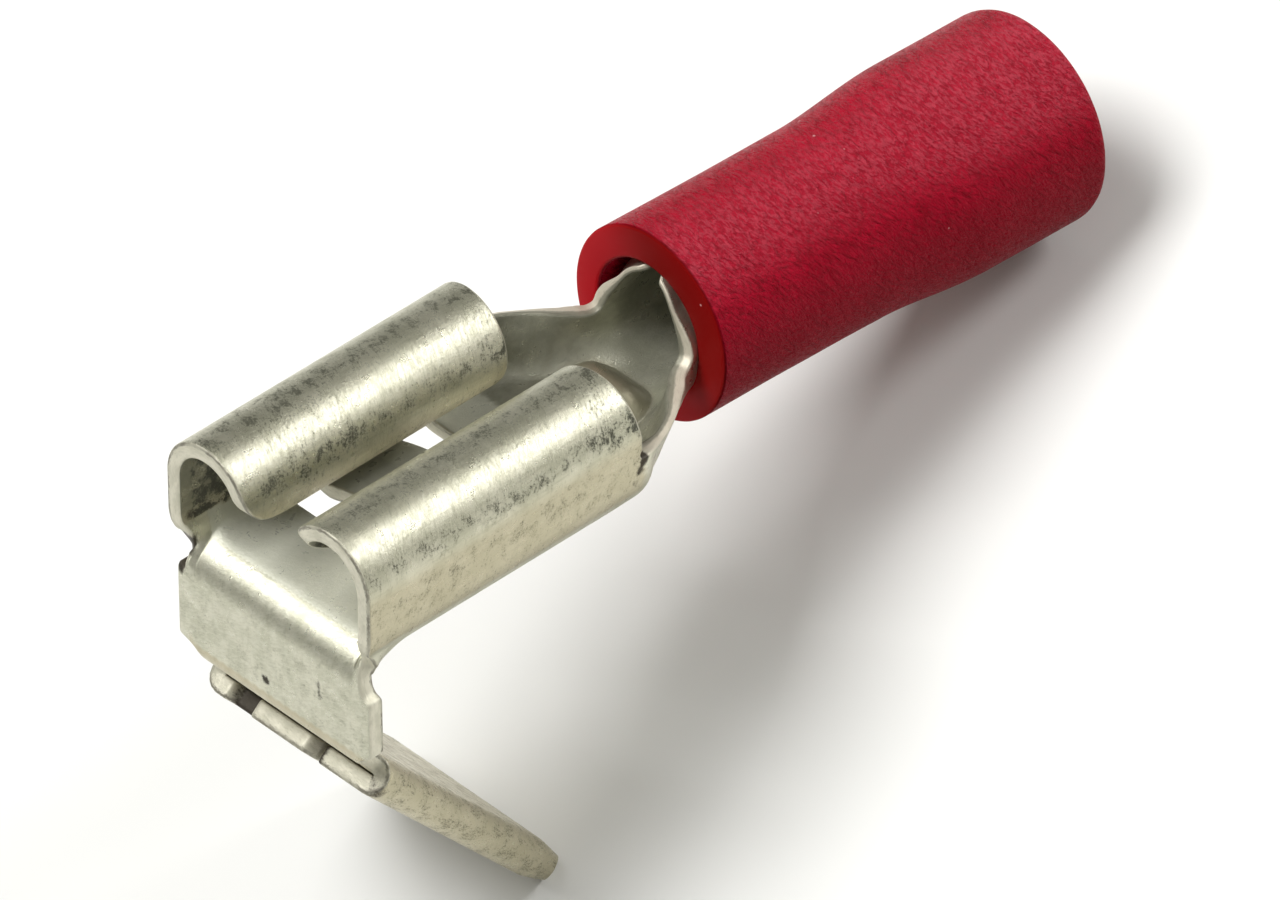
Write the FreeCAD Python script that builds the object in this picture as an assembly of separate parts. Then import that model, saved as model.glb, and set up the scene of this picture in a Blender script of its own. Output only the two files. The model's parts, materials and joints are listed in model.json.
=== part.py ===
import FreeCAD, Part
import math
import os

# A piggyback spade terminal for a 4.8 by 0.8 mm tab.
# One stamped and folded strip makes the receptacle, the neck, the crimp barrel, the front
# plate and the double-folded male blade. A moulded sleeve insulates the barrel.
# All sizes are in millimetres. The strip is drawn with its tab channel level, X running
# towards the wire and Z up, and is then tipped to lie as it rests on a table.

V = FreeCAD.Vector
ALONG_X = V(1, 0, 0)
ALONG_Y = V(0, 1, 0)
FAR = 50.0

# Strip
sheet = 0.34

# Receptacle
roll_length = 6.95
half_width = 2.76
floor_corner_radius = 1.05
curl_radius = 1.09
curl_centre_height = 1.93
curl_end_angle = 22.0
far_lip_front_round = 0.85
near_lip_front_round = 1.3
lip_back_round = 0.25
roll_back_rake = 0.32
roll_back_top_rake = 0.24
rim_trim_height = 1.0
rim_trim_depth = 0.32

# Slots across the floor, with a bowed spring bar between them
slot_start = 2.35
slot_length = 0.78
bar_length = 1.9
slot_half_width = 2.15
bar_bow = 0.3

# Front plate with an ear at each side
plate_face = 0.05
plate_bend_radius = 0.8
plate_half_width = 2.38
plate_straight_end = -1.98
far_ear_half_width = 2.6
far_ear_top = -0.3
far_ear_corner = 0.12
far_ear_side_end = -1.95
far_ear_knee_inset = 0.41
far_ear_knee_height = -2.07
far_ear_foot_inset = 0.68
near_ear_half_width = 2.67
near_ear_top = -0.47
near_ear_shoulder_drop = 0.11
near_ear_bottom = -2.05
near_ear_round = 0.2
plate_bottom = -2.4

# Male blade, folded double from both sides
blade_angle = 48.0
blade_bend_radius = 0.6
blade_width = 4.8
blade_thickness = 0.8
blade_length = 6.66
flap_setback = 0.78
blade_edge_radius = 0.3
seam_offset = 0.55
seam_width = 0.08
seam_mouth_width = 0.42
seam_mouth_depth = 0.3
flap_notch_offset = -1.3
flap_notch_width = 0.66
flap_notch_depth = 0.22
tip_taper_length = 0.85
tip_taper_depth = 0.14
tip_corner = 0.35

# Neck between the receptacle and the barrel: a trough whose walls lean out
neck_lap = 0.55
neck_shoulder_setback = 2.15
neck_shoulder_flat = 1.4
neck_shoulder_sweep = 68.0
neck_waist_setback = 1.45
neck_waist_flat = 0.95
neck_waist_sweep = 60.0
neck_throat_setback = 0.7
neck_throat_flat = 0.48
neck_throat_sweep = 75.0
neck_corner_radius = 1.0
neck_roof_height = 2.9
wall_edge_height = 1.5
wall_edge_low = 1.33
wall_edge_low_setback = 0.55
mouth_turn_setback = 0.39
mouth_turn_height = 1.52
mouth_side_setback = 0.33
mouth_side_height = 1.86
mouth_top_setback = 0.08
mouth_top_height = 2.75
relief_radius = 0.12

# Stop bump pressed up out of the neck floor
stop_setback = 1.2
stop_rise = 0.5
stop_radius = 0.6
stop_half_length = 1.1

# Crimp barrel
barrel_start = 9.75
barrel_length = 6.6
barrel_radius = 1.35
barrel_axis_height = 1.45
barrel_dip = 2.7
barrel_seam = 0.07
barrel_floor_share = 5.0
barrel_corner_sweep = 80.0

# Insulating sleeve
sleeve_length = 9.87
sleeve_front_radius = 2.01
sleeve_rear_radius = 2.24
flare_start = 4.6
flare_end = 7.4
bore_clearance = 0.1
wire_bore_radius = 1.7
funnel_length = 0.7
sleeve_front_round = 0.08
sleeve_rear_round = 0.16
wire_entry_chamfer = 0.25

# Sizes that follow from those above
curl_centre_y = half_width - curl_radius
channel_half_flat = half_width - floor_corner_radius
bend_start = plate_face + plate_bend_radius
neck_start = roll_length - neck_lap
stop_place = barrel_start - stop_setback
bar_start = slot_start + slot_length
bar_end = bar_start + bar_length
blade_turn = 90.0 - blade_angle
barrel_end = barrel_start + barrel_length
barrel_centre = V(barrel_start, 0, barrel_axis_height)
sleeve_end = barrel_start + sleeve_length
blade_along = V(math.cos(math.radians(blade_angle)), 0, -math.sin(math.radians(blade_angle)))
blade_up = V(math.sin(math.radians(blade_angle)), 0, math.cos(math.radians(blade_angle)))


def line(a, b):
    return Part.LineSegment(a, b).toShape()


def arc(a, b, c):
    return Part.Arc(a, b, c).toShape()


def polar(centre, radius, degrees, place):
    """A point round a centre in a plane, which place turns into a point in space."""
    angle = math.radians(degrees)
    return place(centre[0] + radius * math.cos(angle), centre[1] + radius * math.sin(angle))


def swing(centre, radius, first, last, place):
    """An arc round a centre from one angle to another."""
    middle = (first + last) / 2
    return arc(*(polar(centre, radius, degrees, place) for degrees in (first, middle, last)))


def face(edges):
    return Part.Face(Part.Wire(edges))


def polygon(points):
    return Part.Face(Part.makePolygon(points + points[:1]))


def block(x0, x1, y0, y1, z0, z1):
    return Part.makeBox(x1 - x0, y1 - y0, z1 - z0, V(x0, y0, z0))


def both_sides(shape):
    return shape.fuse(shape.mirror(V(0, 0, 0), ALONG_Y))


def receptacle_half(lip_front_round):
    """One side of the rolled receptacle: floor, corner, wall and curled-over lip."""
    def at(y, z):
        return V(0, y, z)

    corner = (channel_half_flat, floor_corner_radius)
    curl = (curl_centre_y, curl_centre_height)
    end = 180.0 + curl_end_angle
    inner_corner = floor_corner_radius - sheet
    inner_curl = curl_radius - sheet
    edges = [
        line(at(0, 0), at(channel_half_flat, 0)),
        swing(corner, floor_corner_radius, -90, 0, at),
        line(at(half_width, floor_corner_radius), at(half_width, curl_centre_height)),
        swing(curl, curl_radius, 0, end, at),
        line(polar(curl, curl_radius, end, at), polar(curl, inner_curl, end, at)),
        swing(curl, inner_curl, end, 0, at),
        line(at(half_width - sheet, curl_centre_height), at(half_width - sheet, floor_corner_radius)),
        swing(corner, inner_corner, 0, -90, at),
        line(at(channel_half_flat, sheet), at(0, sheet)),
        line(at(0, sheet), at(0, 0)),
    ]
    side = face(edges).extrude(V(roll_length, 0, 0))
    for cutter in lip_corner_cutters(lip_front_round):
        side = side.cut(cutter)
    return side.cut(rim_trim_cutter()).cut(roll_back_cutter())


def lip_corner_cutters(lip_front_round):
    """Round the two corners of the lip's free edge, seen from the side."""
    lip = curl_centre_height - curl_radius * math.sin(math.radians(curl_end_angle))
    depth = curl_centre_y
    cutters = []
    for end, inward, radius in ((0, 1, lip_front_round), (roll_length, -1, lip_back_round)):
        centre = V(end + inward * radius, 0, lip + radius)
        low = min(end - inward, centre.x)
        high = max(end - inward, centre.x)
        square = block(low, high, 0, depth, lip - sheet / 2, centre.z)
        round_part = Part.makeCylinder(radius, depth, centre, ALONG_Y)
        cutters.append(square.cut(round_part))
    return cutters


def rim_trim_cutter():
    """Lean the lower end of the front rim back to the bend of the plate."""
    base = polygon([
        V(-1, channel_half_flat, -1),
        V(rim_trim_depth, channel_half_flat, -1),
        V(rim_trim_depth, channel_half_flat, 0),
        V(0, channel_half_flat, rim_trim_height),
        V(-1, channel_half_flat, rim_trim_height),
    ])
    return base.extrude(V(0, half_width, 0))


def roll_back_cutter():
    """Rake the back rim, seen from above, from the wall towards the lip."""
    base = polygon([
        V(roll_length, half_width, wall_edge_height),
        V(roll_length - roll_back_top_rake, curl_centre_y, wall_edge_height),
        V(roll_length - roll_back_rake, 0, wall_edge_height),
        V(roll_length + 1, 0, wall_edge_height),
        V(roll_length + 1, half_width, wall_edge_height),
    ])
    return base.extrude(V(0, 0, FAR))


def slot_cutter(place):
    return block(place, place + slot_length, -slot_half_width, slot_half_width, -1, 2 * sheet)


def spring_bar():
    """The bar between the slots, bowed up so that it presses a tab against the lips."""
    def at(y, z):
        return V(bar_start, y, z)

    edge = channel_half_flat
    band = face([
        arc(at(-edge, 0), at(0, bar_bow), at(edge, 0)),
        line(at(edge, 0), at(edge, sheet)),
        arc(at(edge, sheet), at(0, sheet + bar_bow), at(-edge, sheet)),
        line(at(-edge, sheet), at(-edge, 0)),
    ])
    return band.extrude(V(bar_length, 0, 0))


def plate_profile():
    """Side view of the strip from the front bend, down the plate, to the blade's tip."""
    def at(x, z):
        return V(x, 0, z)

    floor_bend = (bend_start, sheet - plate_bend_radius)
    blade_bend = (plate_face + blade_bend_radius, plate_straight_end)
    inner_floor_bend = plate_bend_radius - sheet
    inner_blade_bend = blade_bend_radius - sheet
    turned = 180.0 + blade_turn
    run = blade_along * (flap_setback + blade_length)
    outside = polar(blade_bend, blade_bend_radius, turned, at)
    inside = polar(blade_bend, inner_blade_bend, turned, at)
    return [
        swing(floor_bend, plate_bend_radius, 90, 180, at),
        line(at(plate_face, floor_bend[1]), at(plate_face, plate_straight_end)),
        swing(blade_bend, blade_bend_radius, 180, turned, at),
        line(outside, outside + run),
        line(outside + run, inside + run),
        line(inside + run, inside),
        swing(blade_bend, inner_blade_bend, turned, 180, at),
        line(at(plate_face + sheet, plate_straight_end), at(plate_face + sheet, floor_bend[1])),
        swing(floor_bend, inner_floor_bend, 180, 90, at),
        line(at(bend_start, 0), at(bend_start, sheet)),
    ]


def plate_and_upper_layer():
    """Front plate and the upper layer of the blade, cut to their outline."""
    widest = max(far_ear_half_width, near_ear_half_width, blade_width / 2)
    strip = face(plate_profile()).extrude(V(0, 2 * widest, 0))
    strip.translate(V(0, -widest, 0))
    return strip.common(plate_outline().fuse(blade_envelope()))


def plate_outline():
    """Front view of the plate: a plain neck, then two ears that differ."""
    front = plate_face - 1
    far = far_ear_half_width
    near = near_ear_half_width
    outline = polygon([
        V(front, -plate_half_width, 1),
        V(front, plate_half_width, 1),
        V(front, plate_half_width, far_ear_top),
        V(front, far - far_ear_corner, far_ear_top),
        V(front, far, far_ear_top - far_ear_corner),
        V(front, far, far_ear_side_end),
        V(front, far - far_ear_knee_inset, far_ear_knee_height),
        V(front, far - far_ear_foot_inset, plate_bottom),
        V(front, far_ear_foot_inset - near, plate_bottom),
        V(front, near_ear_round - near, near_ear_bottom),
        V(front, -near, near_ear_bottom + near_ear_round),
        V(front, -near, near_ear_top - near_ear_shoulder_drop),
        V(front, -plate_half_width, near_ear_top),
    ])
    return outline.extrude(V(bend_start - front, 0, 0))


def blade_corner():
    """The point on the blade's lower face, in line with the fronts of the flaps."""
    centre = V(plate_face + blade_bend_radius, 0, plate_straight_end)
    lower = centre - blade_up * (blade_bend_radius - sheet + blade_thickness)
    return lower + blade_along * flap_setback


def blade_block(u0, u1, y0, y1, v0, v1):
    """A block along the blade: u runs to the tip from the flap fronts, v up from its lower face."""
    corner = blade_corner()
    points = []
    for u, v in ((u0, v0), (u1, v0), (u1, v1), (u0, v1)):
        points.append(corner + blade_along * u + blade_up * v + V(0, y0, 0))
    return polygon(points).extrude(V(0, y1 - y0, 0))


def blade_envelope():
    """Outer form of the blade with rolled edges, a tapered tip and cut tip corners."""
    half = blade_width / 2
    body = blade_block(-flap_setback - blade_bend_radius, blade_length, -half, half, 0, blade_thickness)
    long_edges = []
    for edge in body.Edges:
        direction = edge.tangentAt(edge.FirstParameter)
        if abs(direction.dot(blade_along)) > 0.999:
            long_edges.append(edge)
    body = body.makeFillet(blade_edge_radius, long_edges)
    for side in (-1, 1):
        body = body.cut(tip_corner_cutter(side))
    return body.cut(tip_taper_cutter(blade_thickness, -1)).cut(tip_taper_cutter(0, 1))


def blade_point(u, y, v):
    return blade_corner() + blade_along * u + blade_up * v + V(0, y, 0)


def tip_corner_cutter(side):
    half = side * blade_width / 2
    base = polygon([
        blade_point(blade_length - tip_corner, half, -1),
        blade_point(blade_length, half - side * tip_corner, -1),
        blade_point(blade_length + 1, half, -1),
        blade_point(blade_length, half + side, -1),
    ])
    return base.extrude(blade_up * (blade_thickness + 2))


def tip_taper_cutter(height, inward):
    """Thin the tip from one face, so that the blade enters a receptacle easily."""
    base = polygon([
        blade_point(blade_length - tip_taper_length, -blade_width, height),
        blade_point(blade_length + 0.01, -blade_width, height + inward * tip_taper_depth),
        blade_point(blade_length + 0.01, -blade_width, height - inward),
        blade_point(blade_length - tip_taper_length, -blade_width, height - inward),
    ])
    return base.extrude(V(0, 2 * blade_width, 0))


def blade_flaps():
    """The two flaps folded under, with the folds that join them to the upper layer."""
    half = blade_width / 2
    layer_gap = blade_thickness - 2 * sheet
    body = blade_envelope().common(blade_block(0, blade_length, -half, half, 0, blade_thickness))
    hollow_half = half - sheet
    hollow = blade_block(-1, blade_length + 1, -hollow_half, hollow_half, sheet, sheet + layer_gap)
    seam = blade_block(-1, blade_length + 1, seam_offset, seam_offset + seam_width, -1, sheet)
    mouth_start = seam_offset + (seam_width - seam_mouth_width) / 2
    mouth = blade_block(-1, seam_mouth_depth, mouth_start, mouth_start + seam_mouth_width, -1, sheet)
    notch_start = flap_notch_offset - flap_notch_width / 2
    notch = blade_block(-1, flap_notch_depth, notch_start, notch_start + flap_notch_width, -1, sheet)
    flipped = [cutter.mirror(V(0, 0, 0), ALONG_Y) for cutter in (seam, mouth, notch)]
    body = body.cut(hollow)
    for cutter in flipped:
        body = body.cut(cutter)
    return body


def dipped(shape):
    """Turned about the start of the barrel, whose rear lies lower than the channel's floor."""
    return shape.rotated(barrel_centre, ALONG_Y, barrel_dip)


def neck_floor(x):
    """Height of the neck's lower face, which climbs from the channel to the barrel."""
    share = (x - neck_start) / (barrel_start - neck_start)
    return share * (barrel_axis_height - barrel_radius)


def neck_loop(x, flat, radius, sweep, inset):
    """A loop of floor, corners and leaning walls, drawn in by an inset from its outer face."""
    def at(y, z):
        return V(x, y, z)

    height = neck_floor(x) + radius
    inner = radius - inset
    roof = neck_roof_height - inset
    lower = polar((flat, height), inner, sweep - 90, at)
    reach = lower.y + (roof - lower.z) / math.tan(math.radians(sweep))
    return Part.Wire([
        swing((flat, height), inner, -90, sweep - 90, at),
        line(lower, at(reach, roof)),
        line(at(reach, roof), at(-reach, roof)),
        line(at(-reach, roof), at(-lower.y, lower.z)),
        swing((-flat, height), inner, 270 - sweep, 270, at),
        line(at(-flat, height - inner), at(flat, height - inner)),
    ])


def barrel_loop(inset):
    """A circle split in six, so that it matches the floor, corners, walls and roof of a neck loop."""
    def at(y, z):
        return V(barrel_start, y, z)

    share = barrel_floor_share
    corner = barrel_corner_sweep - 90
    stops = (share - 90, corner, 90 - share, 90 + share, 180 - corner, 270 - share, 270 + share)
    centre = (0, barrel_axis_height)
    edges = []
    for first, last in zip(stops, stops[1:]):
        edges.append(swing(centre, barrel_radius - inset, first, last, at))
    return dipped(Part.Wire(edges))


def neck_form(inset):
    """The neck as a full tube, drawn in by an inset from its outer face."""
    radius = neck_corner_radius
    shoulder = barrel_start - neck_shoulder_setback
    waist = barrel_start - neck_waist_setback
    throat = barrel_start - neck_throat_setback
    loops = [
        neck_loop(neck_start, channel_half_flat, floor_corner_radius, 90.0, inset),
        neck_loop(shoulder, neck_shoulder_flat, radius, neck_shoulder_sweep, inset),
        neck_loop(waist, neck_waist_flat, radius, neck_waist_sweep, inset),
        neck_loop(throat, neck_throat_flat, radius, neck_throat_sweep, inset),
        barrel_loop(inset),
    ]
    return Part.makeLoft(loops, True, False)


def neck_opening():
    """Everything above the free edges of the neck walls, and in front of the barrel mouth."""
    start = neck_start - 1
    knee = V(barrel_start - wall_edge_low_setback, 0, wall_edge_low)
    turn = V(barrel_start - mouth_turn_setback, 0, mouth_turn_height)
    side = V(barrel_start - mouth_side_setback, 0, mouth_side_height)
    top = V(barrel_start - mouth_top_setback, 0, mouth_top_height)
    outline = [
        line(V(start, 0, FAR), V(start, 0, wall_edge_height)),
        line(V(start, 0, wall_edge_height), V(roll_length, 0, wall_edge_height)),
        line(V(roll_length, 0, wall_edge_height), knee),
        arc(knee, turn, side),
        line(side, top),
        line(top, V(top.x, 0, FAR)),
        line(V(top.x, 0, FAR), V(start, 0, FAR)),
    ]
    opening = face(outline).extrude(V(0, 2 * FAR, 0))
    opening.translate(V(0, -FAR, 0))
    return opening


def neck():
    return neck_form(0).cut(neck_form(sheet)).cut(neck_opening())


def barrel():
    outside = Part.makeCylinder(barrel_radius, barrel_length, barrel_centre, ALONG_X)
    bore = Part.makeCylinder(barrel_radius - sheet, barrel_length, barrel_centre, ALONG_X)
    return dipped(outside.cut(bore))


def seam_cutter():
    """The slit along the barrel's top, where the two edges of the strip meet."""
    seam = block(barrel_start - 1, barrel_end, -barrel_seam / 2, barrel_seam / 2,
                 barrel_axis_height, barrel_axis_height + 2 * barrel_radius)
    return dipped(seam)


def capsule(radius, half_length, centre):
    """A rounded bar across the strip."""
    straight = half_length - radius
    bar = Part.makeCylinder(radius, 2 * straight, centre - ALONG_Y * straight, ALONG_Y)
    for end in (-straight, straight):
        bar = bar.fuse(Part.makeSphere(radius, centre + ALONG_Y * end))
    return bar


def stop_centre():
    """The axis of the stop bump, sunk so that the bump rises by its set amount."""
    return V(stop_place, 0, neck_floor(stop_place) + sheet + stop_rise - stop_radius)


def with_stop_bump(body):
    """Raise the stop bump, with the hollow that its punch leaves under it."""
    centre = stop_centre()
    bump = capsule(stop_radius, stop_half_length, centre)
    keep = block(stop_place - FAR, stop_place + FAR, -FAR, FAR, sheet, FAR)
    hollow_radius = stop_radius - sheet
    hollow_half_length = stop_half_length - sheet
    hollow = capsule(hollow_radius, hollow_half_length, centre)
    below = block(stop_place - hollow_radius, stop_place + hollow_radius,
                  -hollow_half_length + hollow_radius, hollow_half_length - hollow_radius, -1, centre.z)
    return body.fuse(bump.common(keep)).cut(hollow.fuse(below))


def floor_bend_cutter():
    """The part of the floor that gives way to the front bend."""
    return block(-1, bend_start, -plate_half_width, plate_half_width, -1, curl_centre_height / 2)


def relief_cutter():
    """The round notch at each side where the back of a roll meets the neck wall."""
    corner = V(roll_length, channel_half_flat, wall_edge_height)
    return both_sides(Part.makeCylinder(relief_radius, half_width, corner, ALONG_Y))


def bar_clearance():
    """The flat floor that the bowed spring bar takes the place of."""
    return block(bar_start, bar_end, -channel_half_flat, channel_half_flat, -1, 2 * sheet)


def terminal():
    far_roll = receptacle_half(far_lip_front_round)
    near_roll = receptacle_half(near_lip_front_round).mirror(V(0, 0, 0), ALONG_Y)
    rolls = far_roll.fuse(near_roll)
    neck_room = block(neck_start, FAR, -FAR, FAR, -1, wall_edge_height)
    for cutter in (neck_room, floor_bend_cutter(), bar_clearance()):
        rolls = rolls.cut(cutter)
    front = plate_and_upper_layer().fuse(blade_flaps())
    back = with_stop_bump(neck()).fuse(barrel()).cut(seam_cutter())
    body = rolls.fuse(spring_bar()).fuse(front).fuse(back).cut(relief_cutter())
    for place in (slot_start, bar_end):
        body = body.cut(slot_cutter(place))
    return body.removeSplitter()


def insulating_sleeve():
    """A moulded sleeve, turned about the barrel axis."""
    bore = barrel_radius + bore_clearance
    front = barrel_start
    funnel_start = barrel_end + bore_clearance
    flare_middle = (flare_start + flare_end) / 2
    middle_radius = (sleeve_front_radius + sleeve_rear_radius) / 2

    def at(x, r):
        return V(x, 0, barrel_axis_height + r)

    flare = Part.BSplineCurve()
    flare.interpolate(
        [at(front + flare_start, sleeve_front_radius), at(front + flare_middle, middle_radius),
         at(front + flare_end, sleeve_rear_radius)],
        InitialTangent=ALONG_X, FinalTangent=ALONG_X)
    edges = [
        line(at(front, bore), at(front, sleeve_front_radius)),
        line(at(front, sleeve_front_radius), at(front + flare_start, sleeve_front_radius)),
        flare.toShape(),
        line(at(front + flare_end, sleeve_rear_radius), at(sleeve_end, sleeve_rear_radius)),
        line(at(sleeve_end, sleeve_rear_radius), at(sleeve_end, wire_bore_radius + wire_entry_chamfer)),
        line(at(sleeve_end, wire_bore_radius + wire_entry_chamfer),
             at(sleeve_end - wire_entry_chamfer, wire_bore_radius)),
        line(at(sleeve_end - wire_entry_chamfer, wire_bore_radius),
             at(funnel_start + funnel_length, wire_bore_radius)),
        line(at(funnel_start + funnel_length, wire_bore_radius), at(funnel_start, bore)),
        line(at(funnel_start, bore), at(front, bore)),
    ]
    body = face(edges).revolve(barrel_centre, ALONG_X, 360)
    body = round_rim(body, front, sleeve_front_radius, sleeve_front_round)
    return dipped(round_rim(body, sleeve_end, sleeve_rear_radius, sleeve_rear_round))


def round_rim(body, x, radius, amount):
    rims = []
    for edge in body.Edges:
        box = edge.BoundBox
        if abs(box.XMin - x) < 0.01 and abs(box.XMax - x) < 0.01 and abs(box.ZLength / 2 - radius) < 0.01:
            rims.append(edge)
    return body.makeFillet(amount, rims)


def resting_placement(parts):
    """Tip the terminal onto the blade's tip and the sleeve's rear rim, and set it on the floor."""
    tip = blade_point(blade_length, 0, tip_taper_depth)
    foot = V(sleeve_end - sleeve_rear_round, 0, barrel_axis_height - sleeve_rear_radius + sleeve_rear_round)
    rim = dipped(Part.Vertex(foot)).Point
    reach = rim - tip
    rise = math.atan2(reach.z, reach.x)
    lean = math.asin(sleeve_rear_round / reach.Length)
    tilt = math.degrees(rise - lean)
    turned = [part.rotated(V(0, 0, 0), ALONG_Y, tilt) for part in parts]
    box = Part.makeCompound(turned).optimalBoundingBox(False, False)
    shift = V(-(box.XMin + box.XMax) / 2, -(box.YMin + box.YMax) / 2, -box.ZMin)
    return tilt, shift


os.makedirs("parts", exist_ok=True)
nodes = {"terminal": terminal(), "insulating_sleeve": insulating_sleeve()}
tilt, shift = resting_placement(nodes.values())
print("tilt", tilt, "shift", shift)
for name, shape in nodes.items():
    shape.rotate(V(0, 0, 0), ALONG_Y, tilt)
    shape.translate(shift)
    print(name, "solids", len(shape.Solids), "valid", shape.isValid(), "volume", round(shape.Volume, 2))
    shape.exportStep("parts/" + name + ".step")
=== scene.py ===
import bpy
import json
import math
import numpy as np
from mathutils import Matrix, Vector
from mathutils.geometry import delaunay_2d_cdt

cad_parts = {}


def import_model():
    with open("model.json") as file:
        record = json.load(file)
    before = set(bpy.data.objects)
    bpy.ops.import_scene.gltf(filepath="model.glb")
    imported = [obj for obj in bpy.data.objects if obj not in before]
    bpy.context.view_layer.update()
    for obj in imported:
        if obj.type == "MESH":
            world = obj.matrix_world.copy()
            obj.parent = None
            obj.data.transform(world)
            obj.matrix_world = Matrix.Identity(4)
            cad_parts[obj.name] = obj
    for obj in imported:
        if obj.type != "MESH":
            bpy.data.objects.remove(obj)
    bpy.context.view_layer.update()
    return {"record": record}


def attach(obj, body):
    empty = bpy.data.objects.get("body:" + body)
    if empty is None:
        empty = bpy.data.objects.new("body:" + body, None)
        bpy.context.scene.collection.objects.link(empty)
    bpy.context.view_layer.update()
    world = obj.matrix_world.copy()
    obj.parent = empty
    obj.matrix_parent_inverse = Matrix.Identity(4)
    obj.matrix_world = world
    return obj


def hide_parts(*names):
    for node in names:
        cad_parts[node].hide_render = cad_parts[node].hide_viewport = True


# The terminal is one stamped strip, so it is drawn flat and then rolled and folded: p runs
# along the strip from the receptacle's front towards the wire, q across it from its middle.
# All sizes are in millimetres, in a frame with the tab channel level; place() sets them down
# in the part's own frame.

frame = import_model()

MM = 0.001
T = 0.34
ROUND = 0.05
# Rows of points over a cut edge: share of ROUND inwards, and share of ROUND down from the face
EDGE_ROWS = ((0.55, 0.12), (0.18, 0.42), (0.0, 1.0))

# Receptacle
ROLL_LENGTH = 6.95
FLOOR_FLAT = 1.71
CORNER_OUTER_R = 1.05
CORNER_R = CORNER_OUTER_R - T / 2
CURL_Z = 1.93
CURL_R = 1.09 - T / 2
CURL_DEGREES = 202
CURL_SWEEP = math.radians(CURL_DEGREES)
Q_WALL = FLOOR_FLAT + CORNER_R * math.pi / 2
Q_CURL = Q_WALL + CURL_Z - CORNER_OUTER_R
Q_LIP = Q_CURL + CURL_R * CURL_SWEEP
SLOTS = ((2.35, 3.13), (5.03, 5.81))
SLOT_HALF = 2.17
SLOT_CORNER_R = 0.07
BAR_BOW = 0.3
LIP_BACK = 6.64
RIM_RAKE = 0.32

# Front bend, plate and blade
BEND_START = 0.85
BEND_R = 0.8 - T / 2
BEND_LENGTH = BEND_R * math.pi / 2
PLATE_X = 0.05 + T / 2
PLATE_END = -1.98
SIDE_BEND_R = 0.38
SIDE_MEET_P = -0.22
BLADE_BEND_R = 0.6 - T / 2
BLADE_ANGLE = math.radians(48)
BLADE_BEND_LENGTH = BLADE_BEND_R * (math.pi / 2 - BLADE_ANGLE)
P_PLATE = BEND_START - BEND_LENGTH
P_BLADE_BEND = P_PLATE - (T - 0.8 - PLATE_END)
P_BLADE = P_BLADE_BEND - BLADE_BEND_LENGTH
FLAP_SETBACK = 0.78
P_FLAP = P_BLADE - FLAP_SETBACK
P_TIP = P_FLAP - 6.66
P_BLADE_JOIN = P_BLADE - 0.3
BLADE_CENTRE = np.array([0.65, 0.0, PLATE_END])
ALONG = np.array([math.cos(BLADE_ANGLE), 0.0, -math.sin(BLADE_ANGLE)])
UPWARD = np.array([math.sin(BLADE_ANGLE), 0.0, math.cos(BLADE_ANGLE)])
BLADE_T = 0.8
FOLD_FLAT = 2.0
BLADE_SHEET = 0.385
FOLD_R = (BLADE_T - BLADE_SHEET) / 2
FOLD_LENGTH = FOLD_R * math.pi
FLAP_MIDDLE = FOLD_FLAT + FOLD_LENGTH + 2.0
TAPER_LENGTH = 0.85
TAPER = 0.35
TAPER_START = P_FLAP - P_TIP - TAPER_LENGTH

# Neck and barrel
BARREL_START = 9.75
BARREL_LENGTH = 6.6
BARREL_R = 1.35
AXIS_Z = 1.45
DIP = math.radians(2.7)
SECTION_X = np.array([5.0, ROLL_LENGTH, 7.6, 8.3, 9.05, 9.4, 9.85, 10.5, 20.0])
SECTION_FLAT = np.array([FLOOR_FLAT, FLOOR_FLAT, 1.42, 0.95, 0.44, 0.2, 0.04, 0.0, 0.0])
SECTION_R = np.array([CORNER_OUTER_R, CORNER_OUTER_R, 1.0, 1.0, 1.19, 1.35, 1.385, 1.37, 1.37])
SECTION_SWEEP = np.radians([90.0, 90.0, 69.0, 60.0, 84.0, 150.0, 178.0, 180.0, 180.0])
NECK_FLOOR_START = 6.4
STOP_X = 8.55
STOP_HALF = 0.4
STOP_REACH = 0.74
STOP_RISE = 0.5
STOP_POWER = 1.15
SEAM_GAP = 0.035
P_HIDDEN = 10.2

# Corners of the flat strip, as p and q, and heights of the neck's rim over p
EAR_FAR = ((-2.112, 1.95), (-1.751, 2.19), (-1.63, 2.6), (-0.16, 2.6), (-0.108, 2.55), (-0.108, 2.40))
EAR_NEAR = ((-2.15, 1.97), (-1.78, 2.42), (-1.55, 2.67), (-0.27, 2.67), (-0.175, 2.42))
FRONT_CORNER = ((0.0, 2.385), (0.12, 2.39), (0.24, 2.42), (0.20, 2.48), (0.12, 2.57), (0.05, 2.68),
                (0.012, 2.82), (0.0, 3.0), (0.0, 3.6))
NECK_RIM = ((7.15, 1.47), (7.5, 1.42), (8.0, 1.39), (8.5, 1.37), (8.9, 1.35))
MOUTH_FAR = ((9.30, 1.33), (9.49, 1.38), (9.55, 1.60))
MOUTH_NEAR = ((9.17, 1.35), (9.38, 1.40), (9.50, 1.50), (9.55, 1.66))
MOUTH_END = ((9.57, 1.86), (9.59, 2.15), (9.61, 2.42), (9.66, 2.64))

# Sleeve
SLEEVE_LENGTH = 9.87
SLEEVE_RISE = 0.04
SLEEVE_FRONT_R = 2.03
SLEEVE_REAR_R = 2.225
SLEEVE_FLARE = (4.6, 7.3)
SLEEVE_BORE_R = 1.43
SLEEVE_ENTRY_R = 1.70
SLEEVE_SKIN_R = 1.8
SLEEVE_WASTE = 0.006
BORE_SHIFT = 0.08
SLEEVE_AROUND = 240

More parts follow.
